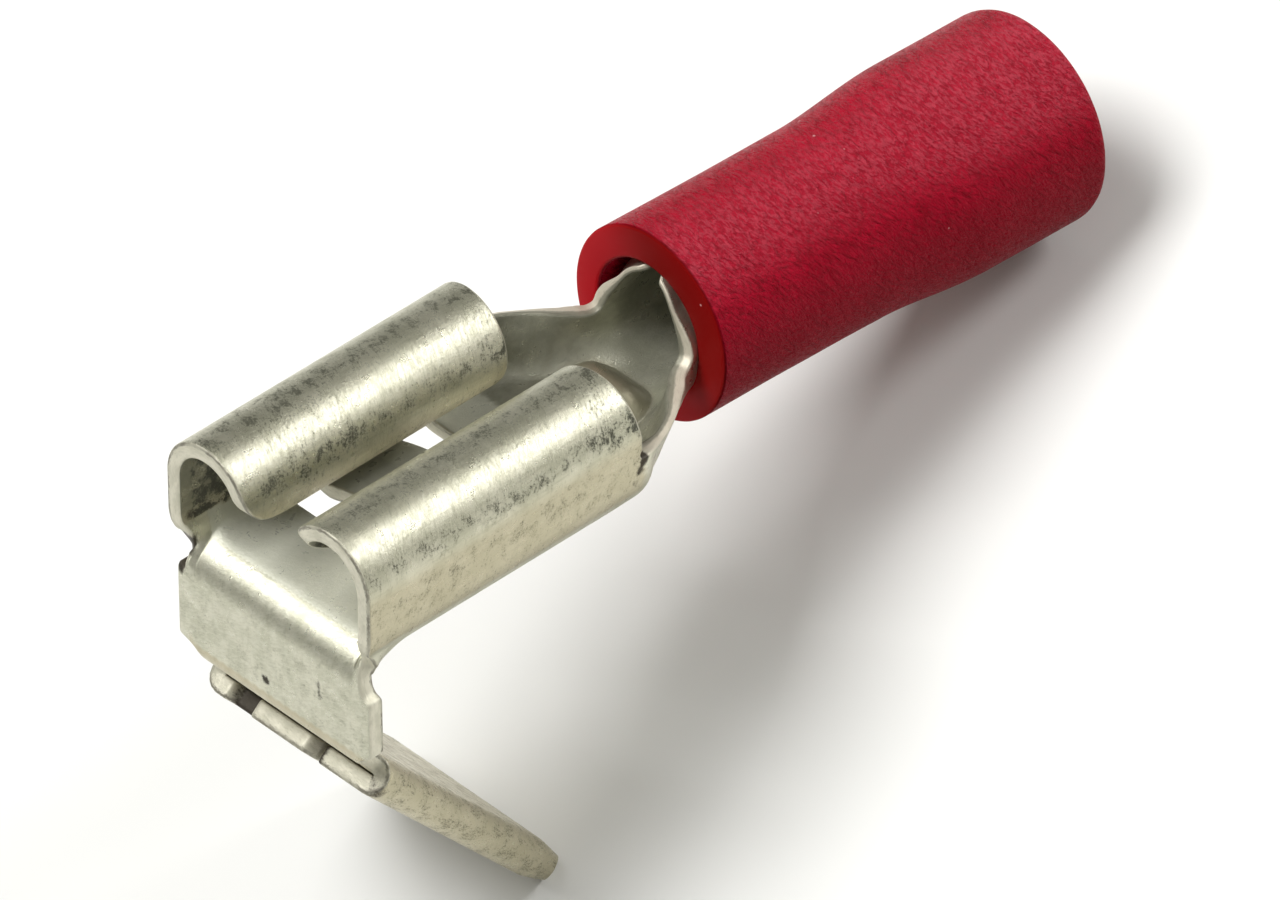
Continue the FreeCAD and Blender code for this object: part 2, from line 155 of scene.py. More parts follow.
# Stains on the metal, and painted shade in the notch at the end of the far flap: p, q, width and amount
STAINS_AND_SHADE = ((P_FLAP - 0.3, 3.25, 0.36, 1.0), (P_FLAP - 0.15, -(FOLD_FLAT + FOLD_LENGTH + 1.3), 0.25, 1.0),
          (0.2, 2.45, 0.13, 0.8), (6.97, -3.42, 0.13, 0.9), (6.86, -3.24, 0.13, 0.75),
          (6.74, -3.02, 0.16, 0.5), (-2.6, -2.3, 0.12, 0.6), (-2.35, -0.3, 0.06, 0.5),
          (-1.9, -2.55, 0.25, 0.8), (-0.12, 2.5, 0.1, 0.8), (P_FLAP - 0.1, -2.5, 0.2, 0.6),
          (8.15, 0.55, 0.12, 0.6), (9.2, 1.9, 0.06, 0.5), (-1.35, 0.2, 0.12, 0.95),
          (-0.6, -1.25, 0.1, 0.8), (-0.85, -1.3, 0.1, 0.8), (0.25, 2.9, 0.22, 0.55), (0.7, 3.1, 0.3, 0.35))
# How much longer the outside of the blade's folded edges is than the middle of the sheet
FOLD_STRETCH = 1.1


def smooth(low, high, value):
    """An eased step from nought at low to one at high."""
    t = np.clip((value - low) / (high - low), 0.0, 1.0)
    return t * t * (3 - 2 * t)


def bump_at(value, centre, width):
    """A bell of height one."""
    return np.exp(-((value - centre) / width) ** 2)


def eased(x, knots, values):
    """Interpolate with level tangents kept short, so that a section never overshoots."""
    index = np.clip(np.searchsorted(knots, x, side="right") - 1, 0, len(knots) - 2)
    slopes = np.diff(values) / np.diff(knots)
    tangents = np.zeros(len(values))
    for i in range(1, len(values) - 1):
        if slopes[i - 1] * slopes[i] > 0:
            tangents[i] = 2 * slopes[i - 1] * slopes[i] / (slopes[i - 1] + slopes[i])
    step = np.diff(knots)[index]
    t = (x - knots[index]) / step
    low, high = values[index], values[index + 1]
    m0, m1 = tangents[index] * step, tangents[index + 1] * step
    return ((2 * t ** 3 - 3 * t ** 2 + 1) * low + (t ** 3 - 2 * t ** 2 + t) * m0
            + (3 * t ** 2 - 2 * t ** 3) * high + (t ** 3 - t ** 2) * m1)


def section(x, q):
    """The strip's middle surface across the channel, the neck or the barrel: y and z at q >= 0."""
    flat = eased(x, SECTION_X, SECTION_FLAT)
    radius = eased(x, SECTION_X, SECTION_R) - T / 2
    sweep = eased(x, SECTION_X, SECTION_SWEEP)
    share = np.clip((x - NECK_FLOOR_START) / (BARREL_START - NECK_FLOOR_START), 0, 1)
    floor = share * (AXIS_Z - BARREL_R) + T / 2
    arc = radius * sweep
    turn = np.clip((q - flat) / radius, 0, sweep)
    rest = np.maximum(q - flat - arc, 0)
    y = np.minimum(q, flat) + radius * np.sin(turn) + rest * np.cos(sweep)
    z = floor + radius * (1 - np.cos(turn)) + rest * np.sin(sweep)
    return y, z


def roll_section(q):
    """The channel's middle surface with its rolled sides."""
    turn = np.clip((q - FLOOR_FLAT) / CORNER_R, 0, math.pi / 2)
    rise = np.clip(q - Q_WALL, 0, Q_CURL - Q_WALL)
    curl = np.clip((q - Q_CURL) / CURL_R, 0, None)
    y = np.minimum(q, FLOOR_FLAT) + CORNER_R * np.sin(turn) + CURL_R * (np.cos(curl) - 1)
    z = T / 2 + CORNER_R * (1 - np.cos(turn)) + rise + CURL_R * np.sin(curl)
    return y, z


def centre_line(p):
    """The strip's middle line over the front bend, down the plate and along the blade."""
    bend = np.clip((BEND_START - p) / BEND_R, 0, math.pi / 2)
    down = np.clip(P_PLATE - p, 0, P_PLATE - P_BLADE_BEND)
    fold = np.clip((P_BLADE_BEND - p) / BLADE_BEND_R, 0, math.pi / 2 - BLADE_ANGLE)
    run = np.clip(P_BLADE - p, 0, None)
    x = (np.maximum(p, BEND_START) - BEND_R * np.sin(bend) + BLADE_BEND_R * (1 - np.cos(fold))
         + run * ALONG[0])
    z = (T / 2 - BEND_R * (1 - np.cos(bend)) - down - BLADE_BEND_R * np.sin(fold)
         + run * ALONG[2])
    return x, z, bend


def side_line(p, level):
    """The same line beside the corner, where the bend is sharper and starts at a given level."""
    start = PLATE_X + SIDE_BEND_R
    arc = SIDE_BEND_R * math.pi / 2
    bend = np.clip((start - p) / SIDE_BEND_R, 0, math.pi / 2)
    low = start - arc
    meet_z = centre_line(np.array(SIDE_MEET_P))[1]
    share = np.clip((low - p) / (low - SIDE_MEET_P), 0, 1)
    x = np.maximum(p, start) - SIDE_BEND_R * np.sin(bend)
    z = (level - SIDE_BEND_R * (1 - np.cos(bend)) - share * (level - SIDE_BEND_R - meet_z)
         - np.clip(SIDE_MEET_P - p, 0, None))
    return x, z


def tip_taper(p):
    """How thick the blade is towards its tip, as a share of its full thickness."""
    return 1 - TAPER * np.clip((P_FLAP - p - TAPER_START) / TAPER_LENGTH, 0, 1)


def fold(p, q):
    """Middle surface of the finished strip at flat coordinates p and q."""
    side = np.where(q < 0, -1.0, 1.0)
    a = np.abs(q)
    roll_y, roll_z = roll_section(a)
    # Towards the front bend the floor flattens and its corner sharpens
    flatten = (1 - smooth(0.25, 1.2, p)) * (1 - smooth(2.25, 2.62, a))
    roll_y = roll_y + (a - roll_y) * flatten
    roll_z = roll_z - (roll_z - T / 2) * flatten
    neck_y, neck_z = section(p, a)
    # The sleeve pinches the neck's upper sides at the mouth
    pinch = smooth(8.9, 9.35, p) * (1 - smooth(9.8, 10.6, p))
    neck_y = neck_y * (1 - pinch * (0.11 * smooth(0.5, 1.4, neck_z) + 0.22 * smooth(1.4, 2.3, neck_z)))
    back = (p > ROLL_LENGTH) | ((p > 6.3) & (a < Q_WALL + 0.3))
    y = np.where(back, neck_y, roll_y)
    z = np.where(back, neck_z, roll_z)
    x = p
    # Bowed spring bar and pressed stop bump
    on_bar = (p > SLOTS[0][1] - 0.01) & (p < SLOTS[1][0] + 0.01) & (a < FLOOR_FLAT)
    z = z + np.where(on_bar, BAR_BOW * (1 - (a / FLOOR_FLAT) ** 2), 0)
    away = np.hypot(p - STOP_X, np.maximum(np.abs(y) - STOP_HALF, 0))
    swell = 0.5 + 0.5 * np.cos(np.pi * np.minimum(away / STOP_REACH, 1))
    lift = np.where(away < STOP_REACH, STOP_RISE * swell ** STOP_POWER, 0)
    z = z + np.where(p > 7.5, lift, 0)
    # Front bend, plate and blade
    cx, cz, bend = centre_line(p)
    hold = 1 - smooth(0.0, 1.2, bend)
    up = (roll_z - T / 2) * hold * (a < 3)
    cx = cx - np.sin(bend) * up
    cz = cz + np.cos(bend) * up
    cy = roll_y * hold + a * (1 - hold)
    sx, sz = side_line(p, roll_z)
    side_hold = smooth(0.12, 0.4, p)
    sy = roll_y * side_hold + a * (1 - side_hold)
    blend = smooth(2.16, 2.38, a)
    fx, fy, fz = cx + (sx - cx) * blend, cy + (sy - cy) * blend, cz + (sz - cz) * blend
    # Above the corner the side wall runs on straight to its front rim
    wall = smooth(2.40, 2.56, a) * smooth(-0.10, -0.04, p)
    fx, fy, fz = fx + (x - fx) * wall, fy + (y - fy) * wall, fz + (z - fz) * wall
    near_front = p < BEND_START
    x = np.where(near_front, fx, x)
    y = np.where(near_front, fy, y)
    z = np.where(near_front, fz, z)
    # Folded edges and flaps of the blade
    u = P_FLAP - p
    turn = np.clip((a - FOLD_FLAT) / FOLD_R, 0, math.pi)
    over = np.clip(a - FOLD_FLAT - FOLD_LENGTH, 0, None)
    blade_y = np.minimum(a, FOLD_FLAT) + FOLD_R * np.sin(turn) - over
    ease = 1 - smooth(P_FLAP, P_BLADE_JOIN, p)
    v = BLADE_T / 2 + FOLD_R * np.cos(turn) * tip_taper(p) + (BLADE_SHEET - T) / 2 * (1 - ease)
    base = BLADE_CENTRE - UPWARD * (BLADE_BEND_R - T / 2 + BLADE_T)
    on_blade = p < P_BLADE_JOIN
    x = np.where(on_blade, base[0] + ALONG[0] * (u + FLAP_SETBACK) + UPWARD[0] * v, x)
    z = np.where(on_blade, base[2] + ALONG[2] * (u + FLAP_SETBACK) + UPWARD[2] * v, z)
    y = np.where(on_blade, blade_y, y)
    # The barrel lies a little lower at its rear
    dip = DIP * smooth(9.0, BARREL_START, p)
    dx, dz = x - BARREL_START, z - AXIS_Z
    x, z = (np.where(p > 9, BARREL_START + dx * np.cos(dip) + dz * np.sin(dip), x),
            np.where(p > 9, AXIS_Z - dx * np.sin(dip) + dz * np.cos(dip), z))
    return np.stack([x, side * y, z], axis=-1)


def half_thickness(p, q):
    """Half the sheet's thickness: full on the blade, thinner at the mouth and the neck's rim."""
    full = T / 2 + (BLADE_SHEET - T) / 2 * (1 - smooth(P_FLAP, P_BLADE_JOIN, p))
    mouth = smooth(9.2, 9.45, p) * (1 - smooth(9.9, 10.2, p)) * smooth(2.0, 2.9, np.abs(q))
    rim = smooth(7.1, 7.7, p) * (1 - smooth(9.2, 9.45, p)) * smooth(2.1, 2.8, np.abs(q))
    return full * (1 - 0.62 * mouth - 0.42 * rim) * tip_taper(p)


def normals(p, q):
    """Unit normals of the middle surface, from small steps along and across the strip."""
    d = 0.004
    along = fold(p + d, q) - fold(p - d, q)
    across = fold(p, q + d) - fold(p, q - d)
    n = np.cross(along, across)
    return n / np.maximum(np.linalg.norm(n, axis=-1, keepdims=True), 1e-9)


def q_at_height(x, height):
    """Where across the strip its middle surface reaches a height at place x."""
    q = np.linspace(0, 4.2, 1200)
    z = section(np.full_like(q, x), q)[1]
    return float(q[np.argmax(z >= height)])


def lip_corner(front_angle, reach):
    """The free corner of a roll at its front: points from the rim to the lip."""
    points = []
    for t in np.linspace(0, math.pi / 2, 14):
        angle = CURL_DEGREES - (CURL_DEGREES - front_angle) * (1 - math.sin(t))
        points.append((reach * (1 - math.cos(t)), Q_CURL + CURL_R * math.radians(angle)))
    return points


def rounded(points, radius):
    """Round off the corners of a run of points that turn sharply."""
    out = [points[0]]
    for before, here, after in zip(points, points[1:], points[2:]):
        b, h, a = np.array(before), np.array(here), np.array(after)
        lb, la = np.linalg.norm(b - h), np.linalg.norm(a - h)
        cosine = np.dot(b - h, a - h) / max(lb * la, 1e-9)
        if cosine > -0.85:
            r = min(radius, 0.4 * lb, 0.4 * la)
            start, end = h + (b - h) / lb * r, h + (a - h) / la * r
            for t in (0, 0.25, 0.5, 0.75, 1):
                out.append(tuple((1 - t) ** 2 * start + 2 * t * (1 - t) * h + t * t * end))
        else:
            out.append(here)
    out.append(points[-1])
    return out


def side_outline(far):
    """The strip's edge on one side, from the blade's tip to the barrel's end, q positive."""
    seam = FLAP_MIDDLE + 0.55 if far else FLAP_MIDDLE - 0.63
    points = []
    for a in np.linspace(0, FOLD_FLAT + FOLD_LENGTH, 40):
        turn = min(max((a - FOLD_FLAT) / FOLD_R, 0), math.pi)
        out_y = min(a, FOLD_FLAT) + BLADE_T / 2 * math.sin(turn)
        points.append((P_TIP + min(max(out_y - 2.05, 0), 0.35), a))
    points += [(P_TIP, seam), (P_FLAP - 0.3, seam), (P_FLAP, seam - 0.17)]
    if far:
        notch = FLAP_MIDDLE - 1.4
        points += [(P_FLAP, notch + 0.33), (P_FLAP - 0.34, notch + 0.3), (P_FLAP - 0.34, notch - 0.3),
                   (P_FLAP, notch - 0.33)]
    points += [(P_FLAP, 2.35), (P_FLAP + 0.08, 2.08)]
    points += EAR_FAR if far else EAR_NEAR
    points += FRONT_CORNER
    points += lip_corner(151, 1.07) if far else lip_corner(124, 1.5)
    points += [(LIP_BACK - 0.25, Q_LIP), (LIP_BACK - 0.07, Q_LIP - 0.07), (LIP_BACK, Q_LIP - 0.25)]
    for degrees in (170, 150, 130, 110, 90, 70, 50, 30, 15, 0):
        back = ROLL_LENGTH - RIM_RAKE * (degrees / CURL_DEGREES) ** 0.75
        points.append((back, Q_CURL + CURL_R * math.radians(degrees)))
    relief = Q_WALL + 0.45
    points += [(ROLL_LENGTH, relief + 0.16), (ROLL_LENGTH - 0.06, relief + 0.05),
               (ROLL_LENGTH - 0.02, relief - 0.05)]
    for x, height in NECK_RIM + (MOUTH_FAR if far else MOUTH_NEAR) + MOUTH_END:
        points.append((x, q_at_height(x, height)))
    seam_q = math.pi * (BARREL_R - T / 2) - SEAM_GAP
    barrel_end = BARREL_START + BARREL_LENGTH
    points += [(9.81, seam_q - 0.02), (barrel_end, seam_q), (barrel_end, 0)]
    return rounded(points, 0.09)


def resampled(loop, spacing):
    """A closed loop with points at an even spacing, keeping its corners."""
    out = []
    for a, b in zip(loop, loop[1:] + loop[:1]):
        a, b = np.array(a), np.array(b)
        fine = spacing
        if a[0] > P_HIDDEN or b[0] > P_HIDDEN:
            fine = spacing * 4
        count = max(int(math.ceil(np.linalg.norm(b - a) / fine)), 1)
        for i in range(count):
            out.append(tuple(a + (b - a) * i / count))
    return np.array(out)


def slot_loop(x0, x1):
    """Outline of a slot in the floor, with rounded corners."""
    r = SLOT_CORNER_R
    loop = []
    for cx, cy, first in ((x1 - r, SLOT_HALF - r, 0), (x0 + r, SLOT_HALF - r, 90),
                          (x0 + r, -SLOT_HALF + r, 180), (x1 - r, -SLOT_HALF + r, 270)):
        for k in (0, 30, 60, 90):
            angle = math.radians(first + k)
            loop.append((cx + r * math.cos(angle), cy + r * math.sin(angle)))
    return loop


def outward(loop):
    """Unit normals of a loop in the plane, pointing out of the metal."""
    before, after = np.roll(loop, 1, axis=0), np.roll(loop, -1, axis=0)
    a, b = loop - before, after - loop
    a /= np.maximum(np.linalg.norm(a, axis=1, keepdims=True), 1e-9)
    b /= np.maximum(np.linalg.norm(b, axis=1, keepdims=True), 1e-9)
    t = a + b
    t /= np.maximum(np.linalg.norm(t, axis=1, keepdims=True), 1e-9)
    return np.stack([t[:, 1], -t[:, 0]], axis=1)


def blank():
    """Outline and holes of the flat strip, each running so that the metal lies on its left."""
    far, near = side_outline(True), side_outline(False)
    outline = far + [(p, -q) for p, q in reversed(near)][1:-1]
    area = sum(a[0] * b[1] - b[0] * a[1] for a, b in zip(outline, outline[1:] + outline[:1]))
    if area < 0:
        outline.reverse()
    loops = [resampled(outline, 0.075)]
    for x0, x1 in SLOTS:
        loops.append(resampled(slot_loop(x0, x1), 0.075)[::-1])
    rng = np.random.default_rng(7)
    for loop in loops:
        wobble = rng.normal(0, 0.004, len(loop))
        for _ in range(4):
            wobble = (wobble + np.roll(wobble, 1) + np.roll(wobble, -1)) / 3
        wobble = wobble * np.where(loop[:, 0] > 9.3, 3.5, 1.0)
        loop -= outward(loop) * np.abs(wobble)[:, None]
    return loops


def inner_points(loops):
    """A staggered grid of points inside the blank, closer together at the folds."""
    points = []

    def grid(p0, p1, q0, q1, dp, dq):
        row = 0
        q = q0
        while q <= q1:
            shift = dp / 2 if row % 2 else 0
            for p in np.arange(p0 + shift, p1, dp):
                points.append((p, q))
            q += dq
            row += 1

    def side_grid(p0, p1, low, high, dp, dq):
        grid(p0, p1, min(side * low, side * high), max(side * low, side * high), dp, dq)

    grid(P_TIP, P_BLADE - 0.5, -1.9, 1.9, 0.16, 0.15)
    for side in (-1, 1):
        side_grid(P_TIP, P_BLADE - 0.5, 1.96, 2.78, 0.16, 0.05)
        side_grid(P_TIP, P_BLADE - 0.5, 2.86, 5.4, 0.16, 0.15)
    grid(P_BLADE - 0.45, P_BLADE_BEND + 0.1, -2.7, 2.7, 0.06, 0.11)
    grid(P_BLADE_BEND + 0.15, -0.3, -2.7, 2.7, 0.13, 0.11)
    grid(-0.28, 0.95, -3.1, 3.1, 0.05, 0.06)
    for side in (-1, 1):
        side_grid(0.04, 0.95, 3.14, 7.2, 0.1, 0.08)
    grid(1.0, 7.0, -7.2, 7.2, 0.12, 0.085)
    grid(7.02, 9.9, -4.0, 4.0, 0.075, 0.075)
    grid(10.0, BARREL_START + BARREL_LENGTH, -3.7, 3.7, 0.4, 0.16)
    points = np.array(points)
    keep = np.ones(len(points), bool)
    for number, loop in enumerate(loops):
        inside = winding(points, loop)
        keep &= inside if number == 0 else ~inside
        for start in range(0, len(points), 4000):
            part = points[start:start + 4000]
            gap = np.min(np.linalg.norm(part[:, None, :] - loop[None, :, :], axis=2), axis=1)
            keep[start:start + 4000] &= gap > 0.055 + ROUND
    return points[keep]


def winding(points, loop):
    """Which points lie inside a closed loop."""
    inside = np.zeros(len(points), bool)
    x, y = points[:, 0], points[:, 1]
    for (x0, y0), (x1, y1) in zip(loop, np.roll(loop, -1, axis=0)):
        crosses = (y0 > y) != (y1 > y)
        if y1 != y0:
            inside ^= crosses & (x < (x1 - x0) * (y - y0) / (y1 - y0) + x0)
    return inside


def placement():
    """Turn and shift from the drawing's frame to the part's own, read from the record."""
    mouth = next(m for m in frame["record"]["mounts"] if m["name"] == "receptacle")
    axis = mouth["axis"]
    tilt = math.atan2(axis[2], -axis[0])
    turn = np.array([[math.cos(tilt), 0, math.sin(tilt)], [0, 1, 0],
                     [-math.sin(tilt), 0, math.cos(tilt)]])
    shift = np.array(mouth["pos_m"]) / MM - turn @ np.array([0, 0, T + BLADE_T / 2])
    return turn, shift


TURN, SHIFT = placement()


def place(points):
    """From the drawing's frame in millimetres to the part's own in metres."""
    return (np.asarray(points) @ TURN.T + SHIFT) * MM


def vector(direction):
    """A direction of the drawing in the part's own frame."""
    return Vector(TURN @ np.array(direction))


def new_mesh(name, points, polys, attributes):
    """A smooth-shaded mesh with a number at each point for each named attribute."""
    mesh = bpy.data.meshes.new(name)
    mesh.from_pydata([tuple(v) for v in place(points)], [], polys)
    for key, values in attributes.items():
        layer = mesh.attributes.new(key, "FLOAT", "POINT")
        layer.data.foreach_set("value", np.asarray(values, dtype=np.float32))
    mesh.polygons.foreach_set("use_smooth", np.ones(len(polys), dtype=bool))
    return mesh


def strip_mesh():
    """The terminal: the flat strip is filled with triangles, folded and given its thickness."""
    loops = blank()
    inset = [loop - outward(loop) * ROUND for loop in loops]
    grid = inner_points(inset)
    verts = [tuple(v) for loop in inset for v in loop]
    edges = []
    start = 0
    spans = []
    for loop in inset:
        count = len(loop)
        edges += [(start + i, start + (i + 1) % count) for i in range(count)]
        spans.append((start, count))
        start += count
    verts += [tuple(v) for v in grid]
    flat, _, faces, origin, _, _ = delaunay_2d_cdt([Vector(v) for v in verts], edges, [], 0, 1e-5)
    flat = np.array([tuple(v) for v in flat])
    first = {}
    for new, sources in enumerate(origin):
        for source in sources:
            first[source] = new
    centres = np.array([np.mean(flat[list(f)], axis=0) for f in faces])
    keep = winding(centres, inset[0])
    for loop in inset[1:]:
        keep &= ~winding(centres, loop)
    faces = [f for f, k in zip(faces, keep) if k]
    p, q = flat[:, 0], flat[:, 1]
    mid, n = fold(p, q), normals(p, q)
    half = half_thickness(p, q)[:, None]
    count = len(flat)
    points = [mid + n * half, mid - n * half]
    info = [np.stack([p, q, np.ones(count)], 1), np.stack([p, q, -np.ones(count)], 1)]
    # kinds holds each face's material: nought for the skin, one for the cut edge
    polys = []
    kinds = []
    for f in faces:
        a = flat[list(f)]
        area = (a[1][0] - a[0][0]) * (a[2][1] - a[0][1]) - (a[2][0] - a[0][0]) * (a[1][1] - a[0][1])
        loop = list(f) if area > 0 else list(f)[::-1]
        polys.append(loop)
        polys.append([i + count for i in loop[::-1]])
        kinds += [0, 0]
    total = 2 * count
    steps = [(share, 1 - ROUND / (T / 2) * drop) for share, drop in EDGE_ROWS]
    steps += [(share, -height) for share, height in steps[::-1]]
    for (begin, size), outer in zip(spans, loops):
        out = outward(outer)
        rows = [[first[begin + i] for i in range(size)]]
        for share, height in steps:
            ring = outer - out * ROUND * share
            rp, rq = ring[:, 0], ring[:, 1]
            base, rn = fold(rp, rq), normals(rp, rq)
            points.append(base + rn * (half_thickness(rp, rq) * height)[:, None])
            info.append(np.stack([rp, rq, np.full(size, height * 0.5)], 1))
            rows.append([total + i for i in range(size)])
            total += size
        rows.append([first[begin + i] + count for i in range(size)])
        for number, (upper, lower) in enumerate(zip(rows, rows[1:])):
            for i in range(size):
                j = (i + 1) % size
                polys.append([upper[i], lower[i], lower[j], upper[j]])
                kinds.append(1 if 1 <= number <= len(rows) - 3 else 0)
    info = np.concatenate(info)
    # The texture's place is stretched round the blade's folded edges
    p, q, side = info.T
    folded = np.clip(np.abs(q) - FOLD_FLAT, 0, FOLD_LENGTH) * smooth(P_BLADE_BEND, P_BLADE_BEND - 0.2, p)
    attributes = {"flat_p": p, "flat_q": q + FOLD_STRETCH * np.sign(q) * folded, "face_side": side}
    attributes.update(paint(p, q, side))
    mesh = new_mesh("terminal", np.concatenate(points), polys, attributes)
    mesh.polygons.foreach_set("material_index", np.array(kinds, dtype=np.int32))
    mesh.update()
    return mesh


def paint(p, q, side):
    """How worn, speckled and warm each point of the strip looks, how dark its painted shade is and how bright
    its painted highlight, from nought to one.
    """
    a = np.abs(q)
    near = q < 0
    outside = side < 0
    # Where each part of the strip is, and which way the outside of a roll faces, in degrees
    curl = np.degrees((a - Q_CURL) / CURL_R)
    facing = np.where(near, curl, 180 - curl)
    on_roll = (p > -0.05) & (p < ROLL_LENGTH + 0.02) & (a > Q_WALL - 0.35)
    roll_out = on_roll & outside
    inside_roll = on_roll & ~outside
    neck = (p > ROLL_LENGTH) & (side > 0)
    plate = (p < 0.3) & (p > P_BLADE_BEND) & (side > 0)
    floor_top = (side > 0) & (p > 0.6) & (p < ROLL_LENGTH) & (a <= Q_WALL - 0.35)
    front_top = (p < 2.6) & (p >= 0.3) & (side > 0) & (a < 2.3)
    from_stop = np.hypot(p - STOP_X, np.maximum(a - STOP_HALF, 0))
    stop = neck & (from_stop < 0.8)
    blade = p < P_BLADE_BEND
    blade_out = blade & outside

    roll_speckle = 0.2 + 0.42 * bump_at(facing, 96, 20) + 0.34 * bump_at(facing, 22, 13)
    near_rear = 0.3 * smooth(5.0, 6.9, p) * bump_at(facing, 45, 50)
    far_ends = 0.18 * bump_at(p, 1.9, 1.1) + 0.2 * smooth(5.6, 6.8, p)
    speckle = np.full_like(p, 0.16)
    speckle = np.where(roll_out, roll_speckle, speckle)
    speckle = np.where(roll_out & near & (p > 5.0), speckle + near_rear, speckle)
    speckle = np.where(roll_out & ~near, speckle + far_ends, speckle)
    speckle = np.where(inside_roll, 0.35 + 0.45 * (1 - smooth(0.6, 2.2, p)), speckle)
    speckle = np.where(neck, 0.12, speckle)
    speckle = np.where(plate, 0.27, speckle)
    speckle = np.where(roll_out & (facing < -4), 0.36 + 0.06 * bump_at(facing, -25, 12), speckle)
    speckle = np.where(blade_out, 0.45, speckle)

    # Painted shade: the channel's floor darker towards its rear and its corners, the inside of each roll darker
    # deep in the curl, the neck darker inside, less so at its mouth, and on its far side; painted dark
    # reflections in two bands on the outside of the rolls; the outer faces of the blade slightly darker
    floor_shade = np.maximum(0.4 * smooth(2.6, 4.4, p), 0.25 * smooth(Q_WALL - 0.9, Q_WALL - 0.35, a))
    roll_dark_reflection = 0.46 * bump_at(facing, 98, 22) + 0.24 * bump_at(facing, 20, 11)
    dark = np.where(inside_roll, 0.25 + 0.61 * smooth(Q_WALL - 0.4, Q_WALL + 0.2, a), 0.0)
    dark = np.where(floor_top, floor_shade, dark)
    dark = np.where(neck, 0.68 - 0.2 * smooth(8.6, 9.6, p), dark)
    dark = np.where(roll_out, roll_dark_reflection, dark)
    dark = dark + np.where(neck, 0.25 * bump_at(p, 7.9, 0.9) * smooth(1.6, 2.6, q), 0)
    dark = np.where(blade_out, 0.1, dark)

    warm = np.where(inside_roll, 0.6, 0.0)
    warm = np.where(roll_out, 0.12 + 0.5 * (1 - smooth(-10, 14, facing)), warm)
    warm = np.where(stop, bump_at(from_stop, 0.0, 0.6), warm)
    warm = np.where(blade, 0.65, warm)

    # Dark spots: stains, and painted shade in the notch at the end of the far flap
    stain_and_shade = np.zeros_like(p)
    for sp, sq, width, amount in STAINS_AND_SHADE:
        spot = amount * np.exp(-((p - sp) ** 2 + (q - sq) ** 2) / width ** 2)
        stain_and_shade = np.maximum(stain_and_shade, spot)
    # Painted highlight: an even sheen over the plate, the front bend and the front of the channel floor, and a
    # band along the outside of each roll
    bright = np.where(plate | front_top, 0.25, 0.0)
    bright = np.where(roll_out, 0.7 * bump_at(facing, 54, 14), bright)
    # matte lowers the metal's shine; where it is full, on the channel's floor, the floor is also painted paler
    # as painted light
    return {"speckle": speckle, "dark": dark, "warm": warm, "stain_and_shade": stain_and_shade, "bright": bright,
            "matte_and_painted_light": np.where(floor_top, 1.0, np.where(neck | inside_roll, 0.6, 0.0)),
            "scratch": np.where(roll_out, 0.65, np.where(blade, 0.0, 0.2))}


def sleeve_mesh():
    """The sleeve, turned about the barrel's axis, with soft rims and a slightly uneven skin."""
    flare_start, flare_end = SLEEVE_FLARE
    flare_length = flare_end - flare_start
    profile = [(-0.03, 1.80), (-0.03, 1.975), (-0.024, 2.002), (-0.008, 2.02), (0.03, SLEEVE_FRONT_R)]
    for x in np.linspace(0.12, 4.55, 60):
        profile.append((x, SLEEVE_FRONT_R - 0.012 * math.sin(math.pi * x / 4.55)))
    for x in np.linspace(flare_start, flare_end, 50):
        t = (x - flare_start) / flare_length
        profile.append((x, SLEEVE_FRONT_R + (SLEEVE_REAR_R - SLEEVE_FRONT_R) * (3 * t * t - 2 * t ** 3)))
    for x in np.linspace(7.4, SLEEVE_LENGTH - 0.25, 32):
        profile.append((x, SLEEVE_REAR_R))
    profile += [(9.70, 2.218), (9.77, 2.192), (9.81, 2.15), (9.828, 2.10), (9.83, 2.05), (9.82, 1.99),
                (9.78, 1.91), (9.69, 1.83), (9.60, 1.755), (9.45, SLEEVE_ENTRY_R)]
    for x in np.linspace(9.2, 7.5, 10):
        profile.append((x, SLEEVE_ENTRY_R))
    profile += [(7.3, 1.68), (6.85, 1.50), (6.72, 1.45)]
    for x in np.linspace(6.4, 1.0, 16):
        profile.append((x, SLEEVE_BORE_R))
    profile += [(0.6, 1.40), (0.3, 1.37), (0.12, 1.36), (0.03, 1.365), (-0.015, 1.39), (-0.03, 1.44)]
    rng = np.random.default_rng(11)
    phases = rng.uniform(0, 2 * math.pi, 24)
    points = []
    for x, r in profile:
        for k in range(SLEEVE_AROUND):
            angle = 2 * math.pi * k / SLEEVE_AROUND
            skin = 0.0
            for i in range(8):
                skin += math.sin((i + 2) * angle + phases[i] + x * (0.7 + 0.35 * i)) * 0.0012
                skin += math.sin((3 * i + 5) * angle - x * (1.1 + 0.5 * i) + phases[i + 8]) * 0.0007
            # The outside is uneven, and the bore stands off the middle at the front
            r_here = r - SLEEVE_WASTE + skin * 0.5 if r > SLEEVE_SKIN_R else r
            shift = BORE_SHIFT * math.exp(-((x / 1.2) ** 2)) if r < SLEEVE_SKIN_R else 0.0
            points.append((x, r_here * math.sin(angle) + shift, -r_here * math.cos(angle) - shift))
    points = np.array(points)
    x, y, z = points.T
    dipped = np.stack([BARREL_START + x * math.cos(DIP) + z * math.sin(DIP), y,
                       AXIS_Z + SLEEVE_RISE - x * math.sin(DIP) + z * math.cos(DIP)], 1)
    polys = []
    rows = len(profile)
    for i in range(rows):
        for k in range(SLEEVE_AROUND):
            j = (k + 1) % SLEEVE_AROUND
            a, b = i * SLEEVE_AROUND, ((i + 1) % rows) * SLEEVE_AROUND
            polys.append([a + k, a + j, b + j, b + k])
    mesh = new_mesh("insulating_sleeve", dipped, polys, {"along": x, "across": y, "height": z})
    mesh.update()
    return mesh


